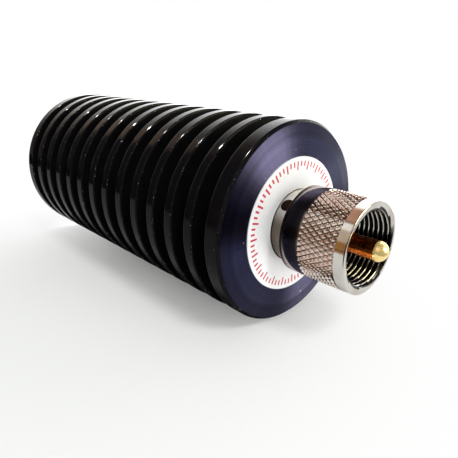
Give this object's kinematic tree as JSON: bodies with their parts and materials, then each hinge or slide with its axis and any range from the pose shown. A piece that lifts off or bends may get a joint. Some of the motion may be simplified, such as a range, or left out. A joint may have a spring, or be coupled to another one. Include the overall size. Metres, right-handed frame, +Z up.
{
  "type": "rf dummy load",
  "caption": "Cylindrical finned heat sink with a screw-on coaxial plug at one end; ends a transmitter's output in a matched resistor for testing.",
  "frame": {"origin": "on the surface that the fins lie on, under the middle of the overall length", "axes": "+X along the axis from the heat sink towards the plug's pin, +Z up"},
  "size_m": [0.1104, 0.044, 0.044],
  "materials": {
    "anodised_aluminium": "turned, glossy black anodised",
    "label_film": "satin white self-adhesive film",
    "nickel_plate": "bright nickel plate on turned brass",
    "gold_plate": "bright gold plate on turned brass",
    "phenolic_resin": "dark brown moulded resin",
    "spring_steel": "bare spring steel",
    "plated_copper": "nickel plate on copper",
    "alumina": "white ground ceramic",
    "silver_plate": "silver plate on copper strip",
    "zinc_steel": "bright zinc plate"
  },
  "bodies": {
    "load": {"heat_sink": "anodised_aluminium", "label_ring": "label_film", "plug_body": "nickel_plate", "retaining_ring": "spring_steel", "front_insulator": "phenolic_resin", "rear_insulator": "phenolic_resin", "centre_pin": "gold_plate", "resistor_flange": "plated_copper", "resistor_substrate": "alumina", "resistor_cap": "alumina", "resistor_tab": "silver_plate", "resistor_screws": "zinc_steel", "spring_washers": "spring_steel"},
    "nut": {"coupling_nut": "nickel_plate"}
  },
  "joints": [
    {"name": "nut_spin", "type": "hinge", "parent": "load", "child": "nut", "pos_m": [0.0445, 0, 0.022], "axis": [1, 0, 0], "continuous": true}
  ]
}
